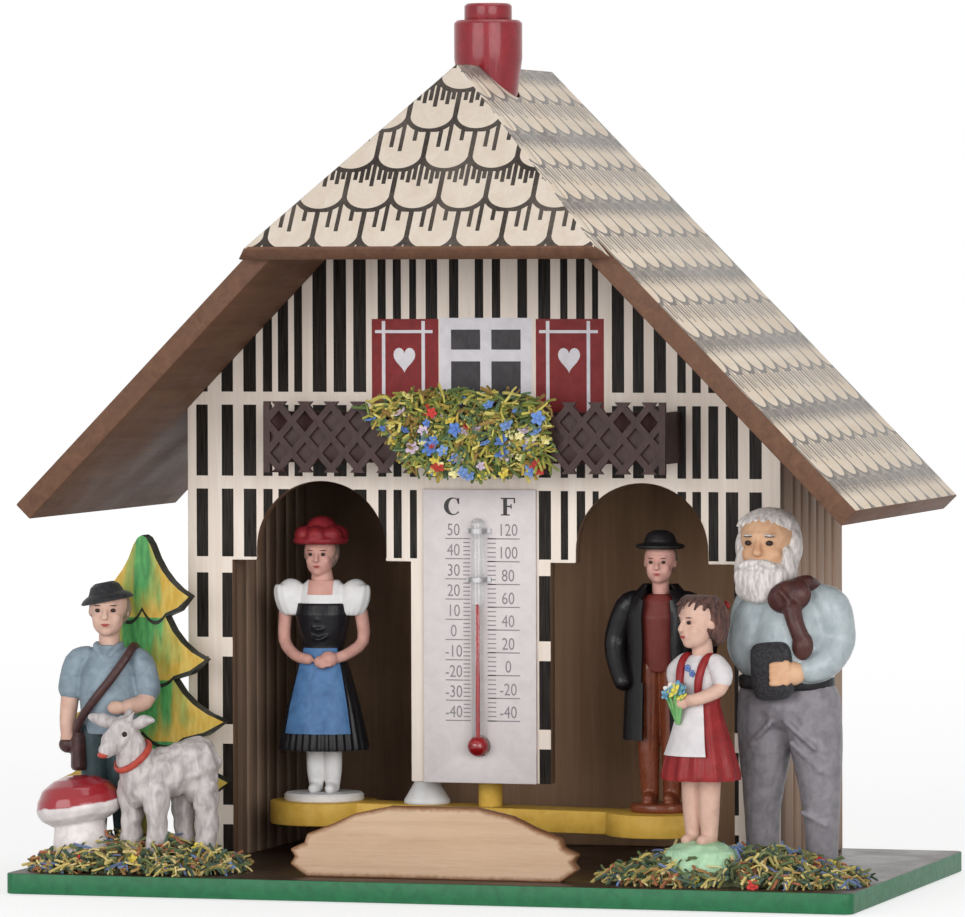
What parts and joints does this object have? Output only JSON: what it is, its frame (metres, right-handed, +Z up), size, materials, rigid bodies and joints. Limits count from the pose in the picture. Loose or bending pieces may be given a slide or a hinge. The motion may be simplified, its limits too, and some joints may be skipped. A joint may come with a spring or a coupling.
{
  "type": "weather house",
  "caption": "Plywood chalet weather house: a gut string turns a table with a weather couple in and out of two arched doors, beside a thermometer and painted figures.",
  "frame": {"origin": "centre of the base board's underside", "axes": "+Z up, +X to the right seen from the front, front faces -Y"},
  "size_m": [0.17, 0.096, 0.1741],
  "materials": {
    "base_green": "painted plywood, satin",
    "pin_steel": "drawn wire",
    "front_print": "printed birch plywood, matt",
    "wall_brown": "stained grooved board",
    "back_brown": "stained board",
    "roof_print": "printed plywood, brown stained edges",
    "block_wood": "bare softwood",
    "rail_plastic": "moulded, matt",
    "moss": "dyed dried moss and flowers",
    "card_white": "printed card",
    "glass": "clear glass",
    "red_liquid": "dyed spirit",
    "clip_metal": "thin sheet",
    "sign_wood": "laser cut plywood, burnt edges",
    "tree_paint": "painted plywood",
    "mushroom_paint": "painted plaster",
    "goat_white": "painted casting",
    "boy_paint": "painted casting",
    "girl_paint": "painted casting",
    "elder_paint": "painted casting",
    "woman_paint": "painted moulding",
    "man_paint": "painted moulding",
    "chimney_red": "turned, high gloss",
    "collar_wood": "turned ring",
    "table_yellow": "painted",
    "post_yellow": "painted dowel",
    "gut": "twisted gut",
    "weight_white": "plain"
  },
  "bodies": {
    "house": {"base_board": "base_green", "guide_pin": "pin_steel", "front_panel": "front_print", "side_wall_left": "wall_brown", "side_wall_right": "wall_brown", "back_panel": "back_brown", "roof_left": "roof_print", "roof_right": "roof_print", "front_hip": "roof_print", "ridge_block": "block_wood", "balcony_rail": "rail_plastic", "balcony_flowers": "moss", "thermometer_card": "card_white", "thermometer_tube": "glass", "thermometer_liquid": "red_liquid", "tube_clips": "clip_metal", "sign_board": "sign_wood", "pine_tree": "tree_paint", "mushroom": "mushroom_paint", "goat": "goat_white", "herd_boy": "boy_paint", "flower_girl": "girl_paint", "older_man": "elder_paint", "moss_left": "moss", "moss_right": "moss"},
    "chimney": {"chimney_knob": "chimney_red", "chimney_cap": "chimney_red", "stem_collar": "collar_wood"},
    "turntable": {"turntable": "table_yellow", "pivot_post": "post_yellow", "gut_string": "gut", "balance_weight": "weight_white", "weather_woman": "woman_paint", "weather_man": "man_paint"}
  },
  "joints": [
    {"name": "chimney_turn", "type": "hinge", "parent": "house", "child": "chimney", "pos_m": [0, -0.0005, 0.16], "axis": [0, 0, 1], "range_deg": [-8, 8]},
    {"name": "turntable_swing", "type": "hinge", "parent": "chimney", "child": "turntable", "pos_m": [0, -0.0005, 0.013], "axis": [0, 0, 1], "range_deg": [-16, 34], "stiffness_Nm_per_rad": 0.00002}
  ]
}
